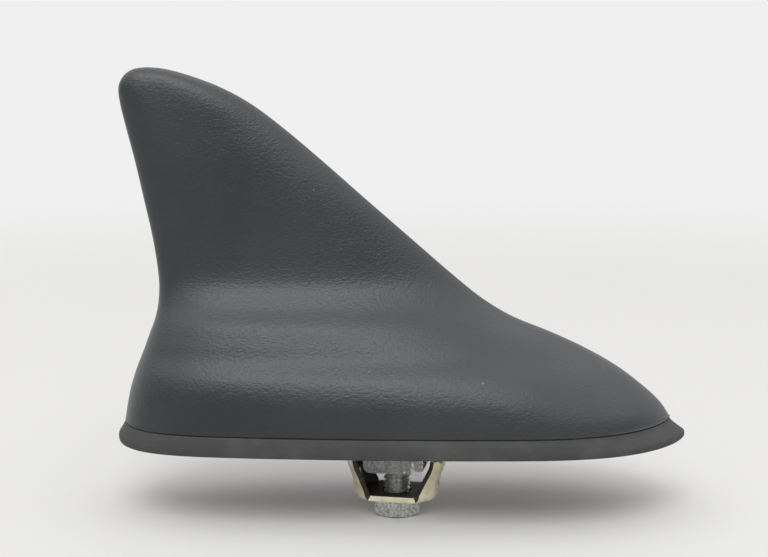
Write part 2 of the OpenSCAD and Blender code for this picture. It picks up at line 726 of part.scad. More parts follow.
cover();
roof_seal();
base_plate();
cover_seal();
cover_screws();
main_board();
board_screws();
shield_can();
patch_antenna();
patch_pin();
fin_board();
fin_board_holder();
top_load();
phone_radiator();
radio_coil();
coil_core();
board_contacts();
chips();
connector_housing();
connector_shell();
connector_insulator();
connector_pin();
clamp_bracket();
clamp_bolt();
retainer_clip();
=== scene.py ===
import math

import bmesh
import bpy
import numpy as np
from mathutils import Matrix, Vector


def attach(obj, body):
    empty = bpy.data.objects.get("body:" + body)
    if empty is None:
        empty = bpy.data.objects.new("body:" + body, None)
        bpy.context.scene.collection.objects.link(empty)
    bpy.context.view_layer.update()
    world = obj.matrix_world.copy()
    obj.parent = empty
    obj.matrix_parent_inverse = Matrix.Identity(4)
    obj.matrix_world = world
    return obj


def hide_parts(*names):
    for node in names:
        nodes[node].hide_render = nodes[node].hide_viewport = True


mm = 0.001

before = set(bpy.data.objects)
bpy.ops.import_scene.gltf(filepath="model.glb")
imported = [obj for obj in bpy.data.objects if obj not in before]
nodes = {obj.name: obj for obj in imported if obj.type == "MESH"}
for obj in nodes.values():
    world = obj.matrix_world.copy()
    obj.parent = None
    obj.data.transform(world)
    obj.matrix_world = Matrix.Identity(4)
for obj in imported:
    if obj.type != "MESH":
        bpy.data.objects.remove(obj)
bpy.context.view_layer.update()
print("frame loaded:", len(nodes), "nodes")


# camera at the photo's angle: slightly above the roof, square to the fin
view = {
    "aim": (-2.9, 0.0, 35.6),  # mm, the point in the middle of the picture
    "distance": 330.0,  # mm
    "height": 8.7,  # degrees above level
    "pixelsPerMm": 4.52,  # at the aim point
    "pictureWidth": 768,
    "sensor": 36.0,  # mm
}


def makeCamera():
    cam = bpy.data.cameras.new("photoCamera")
    cam.sensor_width = view["sensor"]
    cam.sensor_fit = "HORIZONTAL"
    cam.lens = view["sensor"] * view["pixelsPerMm"] * view["distance"] / view["pictureWidth"]
    cam.clip_start = 0.01
    cam.clip_end = 20
    obj = bpy.data.objects.new("photoCamera", cam)
    bpy.context.scene.collection.objects.link(obj)
    up = math.radians(view["height"])
    aim = Vector(view["aim"]) * mm
    obj.location = aim + view["distance"] * mm * Vector((0, -math.cos(up), math.sin(up)))
    obj.rotation_euler = (math.radians(90) - up, 0, 0)
    bpy.context.scene.camera = obj
    return obj


makeCamera()
print("camera placed")


# shader nodes as arithmetic: a wrapped socket takes + - * with numbers or other sockets
class Sock:
    def __init__(self, mat, socket):
        self.mat = mat
        self.socket = socket

    def math(self, kind, a, b):
        return self.mat.node("ShaderNodeMath", {"operation": kind}, {0: a, 1: b})

    def __add__(self, other):
        return self.math("ADD", self, other)

    def __radd__(self, other):
        return self.math("ADD", other, self)

    def __sub__(self, other):
        return self.math("SUBTRACT", self, other)

    def __rsub__(self, other):
        return self.math("SUBTRACT", other, self)

    def __mul__(self, other):
        return self.math("MULTIPLY", self, other)

    def __rmul__(self, other):
        return self.math("MULTIPLY", other, self)

    def clamped(self, low, high):
        # 0 at low, 1 at high, smooth between them
        return self.mat.node("ShaderNodeMapRange", {"interpolation_type": "SMOOTHSTEP"},
                             {"Value": self, "From Min": low, "From Max": high})


class Paint:
    def __init__(self, name, **shader):
        self.material = bpy.data.materials.new(name)
        self.material.use_nodes = True
        self.tree = self.material.node_tree
        self.shader = self.tree.nodes["Principled BSDF"]
        for label, value in shader.items():
            self.shader.inputs[label.replace("_", " ")].default_value = value

    def put(self, socket, value):
        if isinstance(value, Sock):
            self.tree.links.new(value.socket, socket)
        elif isinstance(value, (tuple, list)) and len(value) == 3 and socket.type == "RGBA":
            socket.default_value = (*value, 1)
        else:
            socket.default_value = value

    def node(self, kind, settings=None, inputs=None, out=0):
        made = self.tree.nodes.new(kind)
        for name, value in (settings or {}).items():
            setattr(made, name, value)
        for name, value in (inputs or {}).items():
            self.put(made.inputs[name], value)
        return Sock(self, made.outputs[out])

    def place(self, stretch=(1, 1, 1)):
        # object coordinates in millimetres
        coords = self.node("ShaderNodeTexCoord", out=3)
        scale = tuple(1000 * s for s in stretch)
        return self.node("ShaderNodeMapping", {}, {"Vector": coords, "Scale": scale})

    def noise(self, place, scale, detail=3.0, rough=0.55, twist=0.0):
        return self.node("ShaderNodeTexNoise", {}, {"Vector": place, "Scale": scale, "Detail": detail,
                                                    "Roughness": rough, "Distortion": twist})

    def cells(self, place, scale, feature="F1", out=0):
        return self.node("ShaderNodeTexVoronoi", {"feature": feature},
                         {"Vector": place, "Scale": scale, "Randomness": 1.0}, out)

    def mix(self, a, b, share):
        return self.node("ShaderNodeMix", {"data_type": "RGBA"}, {0: share, 6: a, 7: b}, 2)

    def bump(self, height, depth):
        # depth in mm
        return self.node("ShaderNodeBump", {}, {"Height": height, "Distance": depth * mm, "Strength": 1.0})

    def set(self, **links):
        for label, value in links.items():
            self.put(self.shader.inputs[label.replace("_", " ")], value)
        return self.material

    def seenDirectly(self):
        # 1 for camera, mirror and see-through rays, 0 for light that spreads
        rays = [self.node("ShaderNodeLightPath", out=k) for k in (0, 3, 6)]
        return self.node("ShaderNodeMath", {"operation": "ADD", "use_clamp": True},
                         {0: rays[0] + rays[1], 1: rays[2]})


class Sky(Paint):
    def __init__(self, name):
        self.world = bpy.data.worlds.new(name)
        self.world.use_nodes = True
        self.tree = self.world.node_tree
        self.shader = self.tree.nodes["Background"]


# the cover's form in mm: the same loft as the solid's, finer, its flank closer to the picture
cover = {
    "rimZ": 4.3,
    "wall": 2.2,
    "ringPoints": 256,
    "rowsPerStation": 9,
    "edgeRound": 0.3,
    "lipHeight": 2.5,
    "footToFin": (0.3, 6.2),  # the station where the plan starts to change, and over how many
    # height, rear edge, front edge, half thickness
    "stations": [
        (4.3, -60.6, 61.2, 21.6), (8.0, -60.0, 58.7, 21.45), (12.0, -59.1, 54.3, 20.7),
        (16.0, -57.8, 48.9, 18.9), (20.0, -56.2, 41.9, 15.9), (23.5, -54.9, 34.4, 14.1),
        (27.0, -53.6, 25.9, 12.2), (31.0, -52.8, 19.2, 8.9), (36.0, -52.7, 12.9, 6.3),
        (44.0, -53.7, 3.7, 5.25), (53.0, -55.5, -6.6, 5.05), (62.0, -57.4, -16.8, 4.75),
        (69.0, -59.1, -25.1, 4.35), (74.0, -60.2, -31.8, 4.05), (77.6, -60.5, -38.4, 3.6),
        (80.1, -59.3, -45.0, 2.9), (81.5, -57.2, -50.2, 1.8), (81.9, -54.6, -53.6, 0.3)],
}

# the cover seen from above; each pair is for the foot and for the fin
plan = {
    "widest": (0.63, 0.40),  # share of the length from the rear
    "noseCurve": (3.3, 2.6),
    "nosePoint": (0.72, 0.55),
    "tailSquare": (12, 4.2),
    "tailPinch": (0.24, 0),
    "tailCurve": 1.8,
}


def ease(t):
    t = max(0.0, min(1.0, t))
    return t * t * (3 - 2 * t)


def mix(a, b, t):
    return a + (b - a) * t


def rowOf(table, r):
    # smooth curve through the rows of a table
    last = len(table) - 1
    i = max(0, min(int(math.floor(r)), last - 1))
    t = r - i
    a, b, c, d = (np.array(table[k], float) for k in (max(i - 1, 0), i, i + 1, min(i + 2, last)))
    bend, twist = 2 * a - 5 * b + 4 * c - d, 3 * b - a - 3 * c + d
    return 0.5 * (2 * b + (c - a) * t + bend * t ** 2 + twist * t ** 3)


def outline(row, share, count):
    # blunt tail, pointed nose; share is 0 in the foot and 1 in the fin
    belly = mix(row[1], row[2], mix(*plan["widest"], share))
    angle = 2 * math.pi * np.arange(count) / count
    c, s = np.cos(angle), np.sin(angle)
    u = np.minimum(1, np.abs(c))
    nose = (1 - u ** mix(*plan["noseCurve"], share)) ** mix(*plan["nosePoint"], ease(2 * share))
    tail = (1 - mix(*plan["tailPinch"], share) * u ** plan["tailCurve"])
    tail = tail * np.sqrt(1 - u ** mix(*plan["tailSquare"], share))
    x = np.where(c >= 0, belly + (row[2] - belly) * u, belly - (belly - row[1]) * u)
    y = row[3] * np.where(c >= 0, nose, tail) * np.where(s >= 0, 1, -1)
    return np.stack([x, y], axis=1)


def rimOutline(rear, side, nose, count):
    row = cover["stations"][0]
    return outline((0, row[1] - rear, row[2] + nose, row[3] + side), 0.0, count)


def ringAt(points, z):
    return np.column_stack([points, np.full(len(points), z)])


def loft(name, rings, capLow=True, capHigh=True):
    # rings of equal count, joined to a closed mesh in metres
    count = len(rings[0])
    mesh = bpy.data.meshes.new(name)
    points = np.concatenate(rings) * mm
    faces = []
    for k in range(len(rings) - 1):
        for i in range(count):
            j = (i + 1) % count
            faces.append((k * count + i, k * count + j, (k + 1) * count + j, (k + 1) * count + i))
    if capLow:
        faces.append(tuple(range(count - 1, -1, -1)))
    if capHigh:
        faces.append(tuple((len(rings) - 1) * count + i for i in range(count)))
    mesh.from_pydata(points.tolist(), [], faces)
    bm = bmesh.new()
    bm.from_mesh(mesh)
    bmesh.ops.remove_doubles(bm, verts=bm.verts, dist=1e-6)
    bmesh.ops.dissolve_degenerate(bm, edges=bm.edges, dist=1e-6)
    bmesh.ops.recalc_face_normals(bm, faces=bm.faces)
    bm.to_mesh(mesh)
    bm.free()
    obj = bpy.data.objects.new(name, mesh)
    bpy.context.scene.collection.objects.link(obj)
    return obj


def smooth(obj, sharpAngle=35):
    obj.data.shade_smooth()
    obj.data.set_sharp_from_angle(angle=math.radians(sharpAngle))
    return obj


def paint(obj, material):
    obj.data.materials.clear()
    obj.data.materials.append(material)
    return obj


def makeCover():
    table = cover["stations"]
    count = cover["ringPoints"]
    low, edge = cover["rimZ"], cover["edgeRound"]
    inner = rimOutline(-cover["wall"], -cover["wall"], -cover["wall"], count)
    rings = [ringAt(inner, low + cover["lipHeight"]), ringAt(inner, low)]
    # the rim's lower edge is rounded, so it throws the dark line over the seal
    for turn in (0.0, 0.5, 1.0):
        drop = edge * (1 - math.sin(math.radians(90 * turn)))
        pull = edge * (1 - math.sqrt(max(0.0, 1 - (1 - turn) ** 2)))
        rings.append(ringAt(rimOutline(-pull, -pull, -pull, count), low + edge - drop + 0.02 * turn))
    steps = cover["rowsPerStation"]
    start, over = cover["footToFin"]
    for k in range(1, (len(table) - 1) * steps + 1):
        r = k / steps
        row = rowOf(table, r)
        if row[0] > low + edge + 0.1:
            rings.append(ringAt(outline(row, ease((r - start) / over), count), row[0]))
    return smooth(loft("coverSkin", rings, capLow=False), 50)


def applied(obj, *kinds):
    # adds modifiers, given as (type, settings), and keeps their result as the mesh
    for kind, settings in kinds:
        modifier = obj.modifiers.new(kind.lower(), kind)
        for label, value in settings.items():
            setattr(modifier, label, value)
    graph = bpy.context.evaluated_depsgraph_get()
    mesh = bpy.data.meshes.new_from_object(obj.evaluated_get(graph))
    obj.modifiers.clear()
    obj.data = mesh
    return obj


def cut(obj, tool, how="DIFFERENCE"):
    applied(obj, ("BOOLEAN", {"operation": how, "solver": "EXACT", "object": tool}))
    bpy.data.objects.remove(tool)
    return obj


def bevelled(obj, width, segments=2, angle=40):
    return applied(obj, ("BEVEL", {"width": width * mm, "segments": segments, "limit_method": "ANGLE",
                                   "angle_limit": math.radians(angle), "harden_normals": False}))


def block(name, low, high):
    (x0, y0, z0), (x1, y1, z1) = low, high
    corners = [(x0, y0), (x1, y0), (x1, y1), (x0, y1)]
    return loft(name, [ringAt(np.array(corners, float), z) for z in (z0, z1)])


def rod(name, radius, low, high, count=64):
    angle = 2 * math.pi * np.arange(count) / count
    circle = np.stack([np.cos(angle), np.sin(angle)], axis=1)
    return loft(name, [ringAt(radius * circle, z) for z in (low, high)])


def turned(obj, degrees, centre):
    # turns the mesh itself about a vertical axis, so the object stays at the origin
    spin = Matrix.Rotation(math.radians(degrees), 4, "Z")
    shift = Matrix.Translation(Vector((centre[0], centre[1], 0)) * mm)
    obj.data.transform(shift @ spin)
    return obj


# the seal, in mm: z, then how far the flank stands out at rear, side and nose
seal = {
    "flank": [(0.0, 1.2, 0.3, 3.0), (0.15, 1.4, 0.5, 3.25), (0.5, 1.5, 0.6, 3.4), (1.4, 1.5, 0.6, 3.2),
              (2.2, 1.05, 0.52, 2.1), (3.0, 0.55, 0.4, 1.05), (3.7, 0.2, 0.16, 0.25),
              (4.0, 0.08, 0.08, 0.08)],
    "lip": [(4.2, -0.05), (4.28, -0.2), (4.3, -0.5)],
    "floor": 1.6,
    "lipWidth": 2.1,
    "points": 320,
    "opening": 27.0,
    "openingY": 2.0,
    "pocketDepth": 0.7,
    "pocketPitch": 11.0,
    "pocketRib": 1.6,
    "pocketColumns": range(-6, 6),
    "pocketRows": range(-2, 3),
    "pocketInset": (5.0, 4.0, 8.0),  # from the rim at rear, side and nose
    "land": 4.0,  # round the opening
}


def makeSeal():
    count, width, floorZ = seal["points"], seal["lipWidth"], seal["floor"]
    rings = []
    flank = seal["flank"]
    for k in range((len(flank) - 1) * 3 + 1):
        z, rear, side, nose = rowOf(flank, k / 3)
        rings.append(ringAt(rimOutline(rear, side, nose, count), z))
    for z, out in seal["lip"]:
        rings.append(ringAt(rimOutline(out, out, out, count), z))
    tray = rimOutline(-width, -width, -width, count)
    rings += [ringAt(tray, seal["lip"][-1][0]), ringAt(tray, floorZ)]
    body = loft("sealSkin", rings)
    half = seal["opening"] / 2
    y = seal["openingY"]
    cut(body, block("opening", (-half, y - half, -1), (half, y + half, floorZ + 1)))
    # relief pockets in the underside: a grid of cells inside the outline, clear of the opening
    land, pitch = seal["land"], seal["pocketPitch"]
    size = (pitch - seal["pocketRib"]) / 2
    depth = seal["pocketDepth"]
    field = rimOutline(*(-inset for inset in seal["pocketInset"]), 56)
    pockets = loft("pockets", [ringAt(field, z) for z in (-1, depth)])
    bars = []
    edge = half + land
    wide, long = 40, 90  # mm, past the seal on both sides
    for i in seal["pocketColumns"]:
        x = (i + 0.5) * pitch
        bars.append(((x - pitch / 2 + size, -wide, -2), (x + pitch / 2 - size, wide, depth + 1)))
    for j in seal["pocketRows"]:
        low, high = j * pitch - pitch / 2 + size, j * pitch + pitch / 2 - size
        bars.append(((-long, low, -2), (long, high, depth + 1)))
    bars.append(((-edge, y - edge, -2), (edge, y + edge, depth + 1)))
    for low, high in bars:
        cut(pockets, block("bar", low, high))
    cut(body, pockets)
    return smooth(body, 40)


# the clamp: a bent strip with two legs, in mm
clamp = {
    # height, then in plan: edge, web, half depth, half flat of the web
    "leg": [(-3.6, 9.2, 11.0, 5.2, 3.0), (-5.2, 8.9, 10.85, 5.3, 3.0), (-6.3, 8.5, 10.45, 5.45, 3.0),
            (-8.5, 7.4, 9.7, 5.8, 3.1), (-11.2, 6.1, 9.4, 6.4, 3.1)],
    "plateEdge": 4.8,
    "plateWeb": 8.4,
    "under": -12.8,
    "sheet": 1.2,
    "turn": -11,
    "boltY": -3.0,
    "boltHole": 3.3,
    "toothPitch": 3.2,
    "tooth": 1.1,
    "toothGap": 0.05,  # the tips are cut down by this
    "sawHalf": 8,
    "sawUp": 4,
    "sawReach": 14,
    "window": {"near": 8, "far": 13, "half": 1.6, "low": -10, "high": -7.4},
    "bendSteps": 8,
    "edgeRound": 0.22,
    "plateBelow": -10,  # faces lower than this belong to the plate
    "legLean": 0.35,  # how far a leg's face must look at the bolt to count as an inner one
    "plateLean": 0.6,
}


def softCorner(a, b, c, share, count):
    # from a to c past the corner b, rounded
    start, end = mix(b, a, share), mix(b, c, share)
    t = np.linspace(0, 1, count)[:, None]
    return (1 - t) ** 2 * start + 2 * t * (1 - t) * b + t ** 2 * end


def acrossStrip(edge, web, depth, flat, z):
    a, b = np.array([edge, -depth, z]), np.array([web, -flat, z])
    c, d = np.array([web, flat, z]), np.array([edge, depth, z])
    return np.concatenate([[a], [mix(a, b, 0.4)], softCorner(a, b, c, 0.3, 6),
                           softCorner(b, c, d, 0.3, 6), [mix(c, d, 0.6)], [d]])


def makeBracket():
    leg = clamp["leg"]
    rows = [acrossStrip(*rowOf(leg, k / 4)[[1, 2, 3, 4, 0]]) for k in range((len(leg) - 1) * 4 + 1)]
    z, edge, web, depth, flat = leg[-1]
    under, plateEdge, plateWeb = clamp["under"], clamp["plateEdge"], clamp["plateWeb"]
    bends = clamp["bendSteps"]
    for k in range(1, bends + 1):
        a = math.radians(90 * k / bends)
        rows.append(acrossStrip(mix(plateEdge, edge, math.cos(a)), mix(plateWeb, web, math.cos(a)),
                                depth, flat, mix(z, under, math.sin(a))))
    for share in (0.75, 0.5, 0.25, 0.0):
        rows.append(acrossStrip(plateEdge * share, plateWeb * share, depth, flat, under))
    rows += [row * np.array([-1, 1, 1]) for row in reversed(rows[:-1])]
    count = len(rows[0])
    points = np.concatenate(rows) * mm
    faces = [(k * count + i, k * count + i + 1, (k + 1) * count + i + 1, (k + 1) * count + i)
             for k in range(len(rows) - 1) for i in range(count - 1)]
    mesh = bpy.data.meshes.new("bracketStrip")
    mesh.from_pydata(points.tolist(), [], faces)
    obj = bpy.data.objects.new("bracketStrip", mesh)
    bpy.context.scene.collection.objects.link(obj)
    # faces look outward and down, so the sheet grows inward
    down = mesh.polygons[len(mesh.polygons) // 2].normal.z < 0
    applied(obj, ("SOLIDIFY", {"thickness": clamp["sheet"] * mm, "offset": -1 if down else 1,
                               "use_even_offset": True}))
    cut(obj, rod("hole", clamp["boltHole"], under - 1, under + 3))
    tip, tooth, pitch = leg[0][0], clamp["tooth"], clamp["toothPitch"]
    half, reach = clamp["sawHalf"], clamp["sawReach"]
    top, gap = tip + clamp["sawUp"], tip - clamp["toothGap"]
    saw = [(half, top), (-half, top), (-half, gap)]
    for y in (-pitch, 0, pitch):
        saw += [(y - tooth, gap), (y, tip - tooth), (y + tooth, gap)]
    saw.append((half, gap))
    cut(obj, loft("saw", [np.array([(x, y, z) for y, z in saw]) for x in (-reach, reach)]))
    window = clamp["window"]
    for side in (-1, 1):
        x0, x1 = sorted((side * window["near"], side * window["far"]))
        cut(obj, block("window", (x0, -window["half"], window["low"]), (x1, window["half"], window["high"])))
    bevelled(obj, clamp["edgeRound"], 3, 50)
    # the second finish, painted shade, goes on the faces that look at the bolt, and on top of the plate
    plateTop = clamp["plateBelow"] * mm
    inner = [p.index for p in obj.data.polygons
             if p.normal.x * p.center.x < -clamp["legLean"] * abs(p.center.x)
             or (p.normal.z > clamp["plateLean"] and p.center.z < plateTop)]
    smooth(turned(obj, clamp["turn"], (0, clamp["boltY"])), 40)
    return obj, inner


# the bolt, in mm
bolt = {
    "y": -3.0,
    "radius": 2.95,
    "core": 2.42,
    "pitch": 1.0,
    "headTop": -12.8,
    "headLow": -16.8,
    "tip": 5.2,
    "flats": 10.0,
    "chamfer": 0.62,
    "face": 0.95,  # the round of the head's face, as a share of the half flats
    "collar": 0.97,
    "dish": [(0.55, 0.3), (0.8, 0.02), (1.0, 0.0)],  # share of the face, height over it
    "around": 72,
    "rowsPerPitch": 12,
    "runOut": 0.8,  # the thread fades over this length at the tip
    "tipShrink": 0.3,
    "ridge": (2.4, 0.1),  # slope of the thread's flanks, flat at its root
}


def makeBolt():
    around = bolt["around"]
    angle = 2 * math.pi * np.arange(around) / around
    across = bolt["flats"] / 2
    toCorner = across / np.cos((angle + math.pi / 6) % (math.pi / 3) - math.pi / 6)
    low, top = bolt["headLow"], bolt["headTop"]

    def ring(radius, z):
        return np.column_stack([radius * np.cos(angle), bolt["y"] + radius * np.sin(angle),
                                np.broadcast_to(z, angle.shape)])

    face, collar = across * bolt["face"], across * bolt["collar"]
    slope = bolt["chamfer"]
    rings = [ring(0.01, low + 0.35)] + [ring(face * share, low + rise) for share, rise in bolt["dish"]]
    for share in (0.5, 1.0):
        radius = mix(face, toCorner, share)
        rings.append(ring(radius, low + slope * (radius - face)))
    for share in (0.0, 0.5):
        radius = mix(toCorner, collar, share)
        rings.append(ring(radius, top - 0.12 - slope * 0.5 * np.maximum(0, radius - collar)))
    rings.append(ring(across * 0.96, top - 0.02))
    # the thread: a ridge that climbs one pitch a turn
    rows = int((bolt["tip"] - top) / bolt["pitch"] * bolt["rowsPerPitch"])
    deep = bolt["radius"] - bolt["core"]
    steep, root = bolt["ridge"]
    for k in range(rows + 1):
        z = mix(top - 0.02, bolt["tip"], k / rows)
        phase = ((z - top) / bolt["pitch"] - angle / (2 * math.pi)) % 1.0
        ridge = np.clip((0.5 - np.abs(phase - 0.5)) * steep - root, 0, 1)
        taper = min(1.0, (bolt["tip"] - z) / bolt["runOut"])
        radius = bolt["core"] + deep * ridge * taper - (1 - taper) * bolt["tipShrink"]
        rings.append(ring(radius, z))
    return smooth(loft("boltSkin", rings), 30)


# the clear clip, in mm
clip = {
    "width": 13.4,
    "depth": 10.0,
    "low": -6.8,
    "top": -1.9,
    "wall": 1.1,
    "cornerRound": 1.5,
    "sleeve": 4.4,
    "bore": 3.3,
    "ribs": (-4.9, 4.2),
    "ribHalf": 0.35,
    "ribFoot": 0.5,
    "ribDrop": 0.8,
    "edgeRound": 0.18,
}


def makeClip():
    w, d, wall = clip["width"] / 2, clip["depth"] / 2, clip["wall"]
    low, top = clip["low"], clip["top"]
    body = block("clipShell", (-w, -d, low), (w, d, top))
    # the lower edges at the two ends are bent round
    bm = bmesh.new()
    bm.from_mesh(body.data)
    lower = [e for e in bm.edges if all(abs(v.co.z - low * mm) < 1e-6 for v in e.verts)
             and abs(e.verts[0].co.x - e.verts[1].co.x) < 1e-6]
    bmesh.ops.bevel(bm, geom=lower, offset=clip["cornerRound"] * mm, segments=6, profile=0.5,
                    affect="EDGES")
    bm.to_mesh(body.data)
    bm.free()
    cut(body, block("room", (-w + wall, -d + wall, low + wall), (w - wall, d - wall, top + 1)))
    cut(body, rod("sleeve", clip["sleeve"], low + 0.3, top - 0.4), "UNION")
    # ribs across the inside, let into both long walls
    thin, y = clip["ribHalf"], d - wall + 0.1
    foot, head = low + clip["ribFoot"], top - clip["ribDrop"]
    for x in clip["ribs"]:
        cut(body, block("rib", (x - thin, -y, foot), (x + thin, y, head)), "UNION")
    cut(body, rod("bore", clip["bore"], low - 1, top + 1))
    bevelled(body, clip["edgeRound"], 2, 40)
    return smooth(turned(body, clamp["turn"], (0, clamp["boltY"])), 35)


def softCopy(node, width, name, segments=2):
    # a copy of a solid with eased edges, which then stands for it
    obj = bpy.data.objects.new(name, nodes[node].data.copy())
    bpy.context.scene.collection.objects.link(obj)
    bm = bmesh.new()
    bm.from_mesh(obj.data)
    bmesh.ops.remove_doubles(bm, verts=bm.verts, dist=1e-6)
    bmesh.ops.dissolve_limit(bm, angle_limit=math.radians(1), verts=bm.verts, edges=bm.edges)
    bm.to_mesh(obj.data)
    bm.free()
    bevelled(obj, width, segments, 50)
    return smooth(obj, 35)


# finishes; colours are linear
shellLook = {
    "colour": (0.015, 0.018, 0.020),
    "worn": (0.023, 0.027, 0.029),
    "grainPerMm": 1.9,
    "grainStretch": (0.62, 0.85, 1.0),
    "grainDepth": 0.115,  # mm
    "creasesPerMm": 1.3,
    "finePerMm": 5.0,
    "cloudsPerMm": 0.035,
    "roughness": 0.37,
    "specksPerMm": 0.22,
    "speckSize": (0.03, 0.055),
    "speckRarity": (0.93, 0.95),  # only cells with a draw above this carry a speck
    "dust": (0.42, 0.42, 0.40),
    "nickAt": (-6.05, -17.5, 18.5),  # mm, the pale nick on the flank
    "nickSize": 0.45,
}


def grainedShell():
    m = Paint("grainedShell", IOR=1.5, Specular_IOR_Level=0.46)
    long = m.place(shellLook["grainStretch"])
    even = m.place()
    grain = m.noise(long, shellLook["grainPerMm"], 3.0, 0.55, 0.35)
    fine = m.noise(even, shellLook["finePerMm"], 2.0, 0.5)
    creases = m.cells(long, shellLook["creasesPerMm"], "DISTANCE_TO_EDGE")
    height = grain * 0.85 + creases.clamped(0.0, 0.22) * 0.07 + fine * 0.14
    broad = m.noise(even, shellLook["cloudsPerMm"], 3.0, 0.55)
    # dust: a few specks, one cell in many
    speckCell = m.cells(even, shellLook["specksPerMm"], out=1)
    speckAt = m.cells(even, shellLook["specksPerMm"])
    pick = m.node("ShaderNodeSeparateColor", {}, {"Color": speckCell})
    chosen = pick.clamped(*shellLook["speckRarity"])
    speck = (1 - speckAt.clamped(*shellLook["speckSize"])) * chosen
    haze = m.noise(even, 0.8, 4.0, 0.7).clamped(0.62, 0.85) * 0.10
    away = m.node("ShaderNodeVectorMath", {"operation": "DISTANCE"}, {0: even, 1: shellLook["nickAt"]}, 1)
    nick = 1 - away.clamped(shellLook["nickSize"] * 0.6, shellLook["nickSize"])
    colour = m.mix(shellLook["colour"], shellLook["worn"], broad.clamped(0.35, 0.7))
    colour = m.mix(colour, shellLook["dust"], speck * 0.75 + haze * broad + nick * 0.9)
    rough = shellLook["roughness"] + (broad - 0.5) * 0.12 + speck * 0.3 + (grain - 0.5) * 0.1
    return m.set(Base_Color=colour, Roughness=rough, Normal=m.bump(height, shellLook["grainDepth"]))


rubberLook = {
    "colour": (0.036, 0.036, 0.037),
    "dusty": (0.064, 0.063, 0.061),
    "cloudsPerMm": 0.12,
    "finePerMm": 3.2,
    "marksPerMm": 0.9,
    "marksStretch": (0.15, 0.15, 1.2),
    "markDepth": 0.045,  # mm
    "roughness": 0.72,
}


def sealRubber():
    m = Paint("sealRubber", IOR=1.5)
    place = m.place()
    cloudy = m.noise(place, rubberLook["cloudsPerMm"], 4.0, 0.6)
    fine = m.noise(place, rubberLook["finePerMm"], 3.0, 0.6)
    marks = m.noise(m.place(rubberLook["marksStretch"]), rubberLook["marksPerMm"], 3.0, 0.6)
    dusty = cloudy.clamped(0.40, 0.75) * 0.7 + fine.clamped(0.62, 0.8) * 0.25
    dusty = dusty + marks.clamped(0.6, 0.8) * 0.25
    return m.set(Base_Color=m.mix(rubberLook["colour"], rubberLook["dusty"], dusty),
                 Roughness=rubberLook["roughness"] + (fine - 0.5) * 0.12,
                 Normal=m.bump(fine * 0.6 + marks * 0.6, rubberLook["markDepth"]))


steelLook = {
    "bracket": (0.74, 0.66, 0.42),
    "bracketPale": (0.86, 0.81, 0.62),
    "bracketDirt": (0.16, 0.115, 0.060),
    # painted shade: the dark brown of the bracket's inner faces and of the plate's top
    "innerShade": (0.040, 0.028, 0.018),
    "innerMetal": (0.22, 0.18, 0.13),
    "bolt": (0.62, 0.64, 0.63),
    "boltDark": (0.24, 0.24, 0.20),
    "boltPale": (0.84, 0.85, 0.84),
    # how fine the marks are, per mm
    "bracketPatches": 0.32,
    "bracketSpeckle": 2.4,
    "bracketScratches": 1.3,
    "innerSpeckle": 2.1,
    "innerPatches": 0.5,
    "boltSpeckle": 1.9,
    "boltBlotches": 0.6,
    # how deep they are, in mm
    "pits": 0.04,
    "innerRelief": 0.08,
}


def bracketSteel():
    m = Paint("bracketSteel")
    place = m.place()
    patchy = m.noise(place, steelLook["bracketPatches"], 4.0, 0.62)
    speckle = m.noise(place, steelLook["bracketSpeckle"], 4.0, 0.7)
    scratch = m.noise(m.place((2.6, 0.25, 0.25)), steelLook["bracketScratches"], 3.0, 0.6)
    colour = m.mix(steelLook["bracket"], steelLook["bracketPale"], patchy.clamped(0.35, 0.65))
    dirt = speckle.clamped(0.60, 0.76) * 0.6 + scratch.clamped(0.60, 0.74) * 0.3
    return m.set(Base_Color=m.mix(colour, steelLook["bracketDirt"], dirt),
                 Metallic=0.55 - dirt * 0.4,
                 Roughness=0.40 + (speckle - 0.5) * 0.3 + dirt * 0.25,
                 Normal=m.bump(speckle * 0.5 + scratch * 0.5, steelLook["pits"]))


def shadedInnerSteel():
    # the inner faces of the bracket: painted shade, dark brown, with specks of bare metal
    m = Paint("shadedInnerSteel")
    place = m.place()
    speckle = m.noise(place, steelLook["innerSpeckle"], 4.0, 0.75)
    patchy = m.noise(place, steelLook["innerPatches"], 3.0, 0.6)
    bare = speckle.clamped(0.56, 0.70) * patchy.clamped(0.40, 0.62)
    return m.set(Base_Color=m.mix(steelLook["innerShade"], steelLook["innerMetal"], bare),
                 Metallic=bare * 0.9, Roughness=0.62 - bare * 0.3,
                 Normal=m.bump(speckle, steelLook["innerRelief"]))


def boltSteel():
    m = Paint("boltSteel")
    place = m.place()
    speckle = m.noise(place, steelLook["boltSpeckle"], 4.0, 0.75)
    blotch = m.noise(place, steelLook["boltBlotches"], 3.0, 0.6)
    colour = m.mix(steelLook["boltDark"], steelLook["bolt"], speckle.clamped(0.36, 0.56))
    colour = m.mix(colour, steelLook["boltPale"], speckle.clamped(0.58, 0.75) * 0.8)
    return m.set(Base_Color=colour, Metallic=0.8 - blotch.clamped(0.5, 0.8) * 0.4,
                 Roughness=0.36 + (blotch - 0.5) * 0.3,
                 Normal=m.bump(speckle, steelLook["pits"]))


plasticLook = {
    "colour": (0.80, 0.80, 0.80),
    "scuffed": (0.58, 0.57, 0.54),
    "scuffsPerMm": 1.1,
    "finePerMm": 3.0,
    "waveDepth": 0.02,  # mm
    "roughness": 0.16,
    "scuffRoughness": 0.25,
}


def clearPlastic():
    m = Paint("clearPlastic", Transmission_Weight=0.78, IOR=1.49)
    place = m.place()
    scuff = m.noise(m.place((0.5, 0.5, 1.6)), plasticLook["scuffsPerMm"], 4.0, 0.65)
    fine = m.noise(place, plasticLook["finePerMm"], 3.0, 0.6)
    scuffed = scuff.clamped(0.45, 0.75)
    return m.set(Base_Color=m.mix(plasticLook["colour"], plasticLook["scuffed"], scuffed),
                 Roughness=plasticLook["roughness"] + scuffed * plasticLook["scuffRoughness"],
                 Normal=m.bump(fine * 0.3 + scuff, plasticLook["waveDepth"]))


